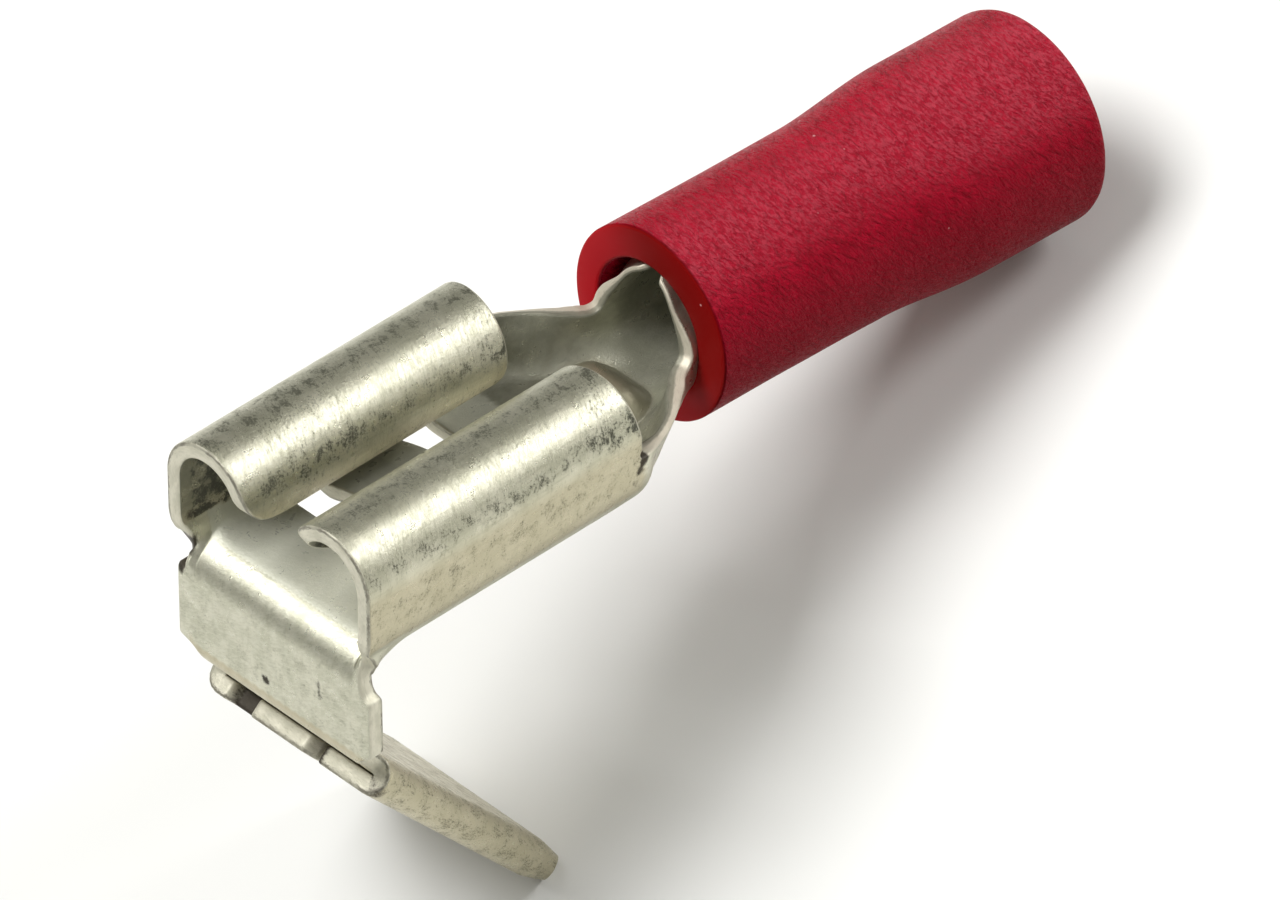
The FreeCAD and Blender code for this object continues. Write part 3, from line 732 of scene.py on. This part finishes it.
class Nodes:
    """Short names for the shader nodes that the materials are made of."""

    def __init__(self, name):
        self.material = bpy.data.materials.new(name)
        self.material.use_nodes = True
        self.tree = self.material.node_tree
        self.shader = self.tree.nodes["Principled BSDF"]

    def link(self, source, target):
        if isinstance(source, (int, float, tuple)):
            target.default_value = source
        else:
            self.tree.links.new(source, target)

    def attribute(self, name):
        node = self.tree.nodes.new("ShaderNodeAttribute")
        node.attribute_name = name
        return node.outputs["Fac"]

    def math(self, operation, a, b=0.0, c=0.0):
        node = self.tree.nodes.new("ShaderNodeMath")
        node.operation = operation
        for value, socket in zip((a, b, c), node.inputs):
            self.link(value, socket)
        return node.outputs[0]

    def vector(self, x, y, z):
        node = self.tree.nodes.new("ShaderNodeCombineXYZ")
        for value, socket in zip((x, y, z), node.inputs):
            self.link(value, socket)
        return node.outputs[0]

    def noise(self, where, scale, detail=3.0, rough=0.55, distortion=0.0):
        node = self.tree.nodes.new("ShaderNodeTexNoise")
        self.link(where, node.inputs["Vector"])
        node.inputs["Scale"].default_value = scale
        node.inputs["Detail"].default_value = detail
        node.inputs["Roughness"].default_value = rough
        node.inputs["Distortion"].default_value = distortion
        return node.outputs["Fac"]

    def cells(self, where, scale):
        node = self.tree.nodes.new("ShaderNodeTexVoronoi")
        self.link(where, node.inputs["Vector"])
        node.inputs["Scale"].default_value = scale
        return node.outputs["Distance"]

    def ramp(self, value, low, high, start=0.0, end=1.0):
        node = self.tree.nodes.new("ShaderNodeMapRange")
        node.interpolation_type = "SMOOTHSTEP"
        for amount, socket in zip((value, low, high, start, end), node.inputs):
            self.link(amount, socket)
        return node.outputs[0]

    def mix(self, share, a, b):
        node = self.tree.nodes.new("ShaderNodeMix")
        node.data_type = "RGBA"
        node.clamp_factor = True
        self.link(share, node.inputs[0])
        self.link(a, node.inputs[6])
        self.link(b, node.inputs[7])
        return node.outputs[2]

    def bump(self, height, strength, distance):
        node = self.tree.nodes.new("ShaderNodeBump")
        node.inputs["Strength"].default_value = strength
        node.inputs["Distance"].default_value = distance * MM
        self.link(height, node.inputs["Height"])
        self.tree.links.new(node.outputs["Normal"], self.shader.inputs["Normal"])

    def set(self, **values):
        for name, value in values.items():
            self.link(value, self.shader.inputs[name.replace("_", " ")])


def tin_material():
    """Satin tin plate: broad tones, dark speckle, long streaks, scratches and pits, with painted shade, painted
    dark reflections and a painted highlight.
    """
    n = Nodes("tinned_brass")
    p, q, side = n.attribute("flat_p"), n.attribute("flat_q"), n.attribute("face_side")
    speckle, dark, warm = n.attribute("speckle"), n.attribute("dark"), n.attribute("warm")
    stain_and_shade, bright, scratch = n.attribute("stain_and_shade"), n.attribute("bright"), n.attribute("scratch")
    matte_and_painted_light = n.attribute("matte_and_painted_light")
    lift = n.math("MULTIPLY", side, 7.0)
    flat = n.vector(p, q, lift)
    broad = n.noise(flat, 1.3, 2, 0.6)
    cloud = n.noise(flat, 3.0, 4, 0.65, 0.4)
    fine = n.noise(flat, 21.0, 4, 0.8)
    grain = n.noise(flat, 60.0, 1, 0.6)
    long = n.vector(n.math("MULTIPLY", p, 0.9), n.math("MULTIPLY", q, 9.0), lift)
    streak = n.noise(long, 1.6, 3, 0.6, 0.3)
    skewed = n.vector(n.math("MULTIPLY_ADD", q, 2.6, n.math("MULTIPLY", p, 7.0)),
                      n.math("MULTIPLY", q, 2.6), lift)
    cross = n.noise(skewed, 2.4, 3, 0.75, 0.35)
    # No cross marks where scratch is nought
    cross = n.math("MULTIPLY_ADD", n.math("SUBTRACT", cross, 0.5), n.ramp(scratch, 0.0, 0.2), 0.5)
    # Speckle: grains that pass a threshold set by the painted density and the clouds
    density = n.math("MULTIPLY", speckle, n.ramp(cloud, 0.36, 0.62, 0.4, 1.4))
    level = n.math("SUBTRACT", 0.66, n.math("MULTIPLY", density, 0.27))
    grains = n.math("ADD", n.math("MULTIPLY", fine, 0.55), n.math("MULTIPLY", grain, 0.20))
    grains = n.math("ADD", grains, n.math("MULTIPLY", cross, 0.25))
    specks = n.ramp(n.math("SUBTRACT", grains, level), -0.04, 0.11)
    silver = n.mix(n.ramp(broad, 0.35, 0.65), (0.58, 0.575, 0.445, 1), (0.70, 0.685, 0.55, 1))
    streaked = n.math("MULTIPLY", scratch, n.ramp(streak, 0.45, 0.7, 0.0, 0.7))
    scratched = n.math("MULTIPLY", scratch, n.ramp(cross, 0.5, 0.7, 0.0, 0.5))
    # Painted highlight: paler where bright is painted, broken up by the scratch marks
    painted_sheen = n.math("MULTIPLY", bright, n.ramp(cross, 0.35, 0.58, 1.0, 0.0))
    # Painted shade and painted dark reflections, where dark is painted
    painted_shade = n.math("MULTIPLY", dark, n.ramp(cloud, 0.3, 0.6, 0.8, 1.0))
    pitted = n.math("MULTIPLY", specks, n.ramp(speckle, 0.1, 0.6, 0.45, 0.95))
    silver = n.mix(streaked, silver, (0.42, 0.42, 0.31, 1))
    silver = n.mix(n.ramp(cloud, 0.5, 0.68, 0.0, 0.55), silver, (0.46, 0.455, 0.345, 1))
    silver = n.mix(scratched, silver, (0.30, 0.305, 0.225, 1))
    # Painted light: the channel's floor, where matte is full, is painted paler
    silver = n.mix(n.ramp(matte_and_painted_light, 0.7, 1.0, 0.0, 0.6), silver, (0.82, 0.83, 0.70, 1))
    silver = n.mix(painted_sheen, silver, (0.90, 0.89, 0.78, 1))
    silver = n.mix(warm, silver, (0.50, 0.435, 0.28, 1))
    colour = n.mix(painted_shade, silver, (0.16, 0.16, 0.12, 1))
    colour = n.mix(pitted, colour, (0.055, 0.055, 0.035, 1))
    # Dark blots from the stains, and painted shade in the notch at the end of the far flap
    blot = n.ramp(n.math("ADD", stain_and_shade, n.math("MULTIPLY_ADD", fine, 0.6, -0.3)), 0.3, 0.62, 0.0, 0.92)
    colour = n.mix(blot, colour, (0.03, 0.022, 0.014, 1))
    rough = n.math("ADD", n.ramp(cloud, 0.3, 0.7, 0.26, 0.38), n.math("MULTIPLY", specks, 0.2))
    metallic = n.math("SUBTRACT", 0.9, n.math("MULTIPLY", specks, 0.5))
    n.set(Base_Color=colour, Metallic=n.math("SUBTRACT", metallic, n.math("MULTIPLY", matte_and_painted_light, 0.5)),
          Roughness=n.math("ADD", rough, n.math("MULTIPLY", blot, 0.3)))
    marks = n.math("MULTIPLY", cross, n.math("MULTIPLY", scratch, 1.1))
    n.bump(n.math("ADD", n.math("MULTIPLY", fine, 0.7), marks), 0.6, 0.022)
    return n.material


def cut_material():
    """Sheared edges: pale, with a dark line where the burr is, and painted shade on their inner half at the
    neck.
    """
    n = Nodes("cut_edge")
    p, q, side = n.attribute("flat_p"), n.attribute("flat_q"), n.attribute("face_side")
    stain_and_shade = n.attribute("stain_and_shade")
    flat = n.vector(p, q, side)
    fine = n.noise(flat, 9.0, 5, 0.7)
    broad = n.noise(flat, 2.2, 3, 0.6)
    jag = n.math("MULTIPLY_ADD", fine, 0.5, -0.25)
    line_place = n.ramp(p, 3.0, 6.9, -0.40, 0.42)
    away = n.math("ABSOLUTE", n.math("SUBTRACT", n.math("ADD", side, jag), line_place))
    line = n.math("SUBTRACT", 1.0, n.ramp(away, 0.03, 0.16))
    colour = n.mix(n.ramp(broad, 0.35, 0.65), (0.60, 0.58, 0.46, 1), (0.74, 0.71, 0.58, 1))
    colour = n.mix(n.ramp(p, 6.6, 7.6, 0.0, 0.6), colour, (0.60, 0.53, 0.43, 1))
    colour = n.mix(n.ramp(fine, 0.52, 0.74, 0.0, 0.35), colour, (0.26, 0.24, 0.16, 1))
    colour = n.mix(n.math("MULTIPLY", line, n.ramp(broad, 0.35, 0.6, 0.2, 0.75)), colour, (0.07, 0.06, 0.04, 1))
    # Painted shade on the inner half of the cut edges at the neck
    inside = n.ramp(n.math("MULTIPLY_ADD", jag, 0.5, side), -0.02, 0.16, 0.0, 0.8)
    inner = n.math("MULTIPLY", n.ramp(p, 6.9, 7.4), inside)
    colour = n.mix(inner, colour, (0.20, 0.20, 0.15, 1))
    # Dark blots from the stains, and painted shade in the notch at the end of the far flap
    blot = n.ramp(n.math("ADD", stain_and_shade, jag), 0.3, 0.6, 0.0, 0.95)
    colour = n.mix(blot, colour, (0.04, 0.03, 0.02, 1))
    n.set(Base_Color=colour, Metallic=0.45, Roughness=0.5)
    n.bump(n.math("ADD", fine, broad), 0.5, 0.02)
    return n.material


def vinyl_material():
    """Deep red vinyl, satin and finely wrinkled, with a few tiny bright flecks, painted shade in its creases
    and on its underside, a painted sheen along its crown and painted light and shade across its front face.
    """
    n = Nodes("red_vinyl")
    x, y, z = n.attribute("along"), n.attribute("across"), n.attribute("height")
    where = n.vector(x, y, z)
    slant = n.vector(n.math("ADD", n.math("MULTIPLY", x, 2.4), n.math("MULTIPLY", z, 2.2)),
                     n.math("SUBTRACT", y, n.math("MULTIPLY", x, 0.7)), z)
    wrinkle = n.noise(slant, 3.0, 4, 0.62, 0.9)
    fine = n.noise(slant, 6.0, 3, 0.6, 0.6)
    broad = n.noise(where, 0.8, 3, 0.5)
    face = n.math("SUBTRACT", 1.0, n.ramp(x, -0.02, 0.05))
    body = n.mix(n.ramp(broad, 0.35, 0.65), (0.34, 0.003, 0.018, 1), (0.39, 0.004, 0.022, 1))
    crown = n.math("SUBTRACT", n.math("MULTIPLY", z, 0.93), n.math("MULTIPLY", y, 0.365))
    # Painted shade in the wrinkles, strongest along the crown
    crease_shade = n.math("MULTIPLY", n.ramp(wrinkle, 0.46, 0.66, 0.0, 0.7), n.ramp(crown, 0.6, 1.8, 0.25, 1.0))
    body = n.mix(crease_shade, body, (0.19, 0.002, 0.008, 1))
    # Painted shade on the sleeve's underside
    underside_shade = n.ramp(n.math("ADD", z, n.math("MULTIPLY", y, 0.55)), 0.6, -1.6, 0.0, 0.6)
    body = n.mix(underside_shade, body, (0.12, 0.001, 0.004, 1))
    # Painted sheen: a paler pinkish band along the crown, where the highlight falls
    painted_sheen = n.math("MULTIPLY", n.ramp(crown, 1.6, 2.1), n.ramp(fine, 0.42, 0.6, 0.2, 0.9))
    body = n.mix(painted_sheen, body, (0.46, 0.045, 0.07, 1))
    # Painted light and shade on the front face: paler towards the bottom and the far side, darker towards the
    # top and the near side
    lit = n.ramp(n.math("SUBTRACT", z, n.math("MULTIPLY", y, 1.2)), -0.6, 1.8)
    rim = n.mix(lit, (0.40, 0.005, 0.010, 1), (0.20, 0.003, 0.003, 1))
    colour = n.mix(face, body, rim)
    flecks = n.math("SUBTRACT", 1.0, n.ramp(n.cells(where, 1.9), 0.03, 0.07))
    flecks = n.math("MULTIPLY", flecks, n.ramp(n.noise(where, 3.0, 1), 0.56, 0.6))
    colour = n.mix(n.math("MULTIPLY", flecks, 0.7), colour, (0.8, 0.45, 0.45, 1))
    n.set(Base_Color=colour, Roughness=n.ramp(wrinkle, 0.3, 0.7, 0.34, 0.44))
    ripples = n.math("ADD", wrinkle, n.math("MULTIPLY", fine, 0.6))
    skin = n.math("MULTIPLY", n.math("SUBTRACT", 1.0, face), ripples)
    n.shader.inputs["Specular IOR Level"].default_value = 0.05
    n.shader.inputs["Specular Tint"].default_value = (1.0, 0.55, 0.62, 1)
    n.bump(skin, 1.0, 0.12)
    return n.material


def linked(name, data):
    """A new object in the scene."""
    obj = bpy.data.objects.new(name, data)
    bpy.context.scene.collection.objects.link(obj)
    return obj


def add_piece(name, mesh, materials):
    """A piece of the visual model, in place of the solid of the same name."""
    for material in materials:
        mesh.materials.append(material)
    obj = linked(name + "_visual", mesh)
    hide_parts(name)
    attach(obj, "root")


# Camera, looking as the photograph does, and the studio round the part. The view's directions
# and its middle are in the drawing's frame, the lights' directions in the part's own.
PHOTO_WIDTH = 1280
PIXELS_PER_MM = 54.0
CAMERA_DISTANCE = 400 * MM
SENSOR_MM = 36.0
VIEW_RIGHT = (0.726, -0.687, -0.009)
VIEW_UP = (0.444, 0.457, 0.770)
VIEW_MIDDLE = (6.358, -3.302, 2.321)
FLOOR_HALF = 0.6
FLOOR_COLOUR = (0.86, 0.86, 0.84, 1)
WORLD_COLOUR = (0.93, 0.93, 0.88, 1)
WORLD_STRENGTH = 0.30
LIT_MIDDLE = (-0.002, 0, 0.006)
LIGHT_DISTANCE = 0.25
# Name, direction, size in metres and power of each light
LIGHTS = (("top", (-0.10, 0.20, 0.92), (0.12, 0.12), 0.60),
          ("side", (0.79, -0.41, 0.45), (0.06, 0.09), 0.25))


def camera():
    """A long lens at the photograph's angle and scale."""
    data = bpy.data.cameras.new("camera")
    data.sensor_width = SENSOR_MM
    data.lens = SENSOR_MM * CAMERA_DISTANCE / (PHOTO_WIDTH / PIXELS_PER_MM * MM)
    data.clip_start = 10 * MM
    data.clip_end = 3.0
    eye = linked("camera", data)
    right = vector(VIEW_RIGHT).normalized()
    back = right.cross(vector(VIEW_UP)).normalized()
    up = back.cross(right)
    turn = Matrix((right, up, back)).transposed().to_4x4()
    eye.matrix_world = Matrix.Translation(Vector(place(VIEW_MIDDLE)) + back * CAMERA_DISTANCE) @ turn
    bpy.context.scene.camera = eye


def floor():
    """A plain pale floor."""
    mesh = bpy.data.meshes.new("floor")
    side = FLOOR_HALF
    mesh.from_pydata([(-side, -side, 0), (side, -side, 0), (side, side, 0), (-side, side, 0)], [],
                     [(0, 1, 2, 3)])
    n = Nodes("pale_floor")
    n.set(Base_Color=FLOOR_COLOUR, Metallic=0.0, Roughness=0.7)
    mesh.materials.append(n.material)
    linked("floor", mesh)


def area_light(name, direction, size, power):
    """A rectangular light that faces the part."""
    data = bpy.data.lights.new(name, "AREA")
    data.shape = "RECTANGLE"
    data.size, data.size_y = size
    data.energy = power
    lamp = linked(name, data)
    way = Vector(direction).normalized()
    facing = way.to_track_quat("Z", "Y").to_matrix().to_4x4()
    place_at = Vector(LIT_MIDDLE) + way * LIGHT_DISTANCE
    lamp.matrix_world = Matrix.Translation(place_at) @ facing
    lamp.visible_camera = False


def world():
    """An even grey surround."""
    made = bpy.data.worlds.new("studio")
    made.use_nodes = True
    background = made.node_tree.nodes["Background"]
    background.inputs["Color"].default_value = WORLD_COLOUR
    background.inputs["Strength"].default_value = WORLD_STRENGTH
    bpy.context.scene.world = made


add_piece("terminal", strip_mesh(), [tin_material(), cut_material()])
add_piece("insulating_sleeve", sleeve_mesh(), [vinyl_material()])

camera()
floor()
world()
for light in LIGHTS:
    area_light(*light)
bpy.context.scene.view_settings.view_transform = "Standard"
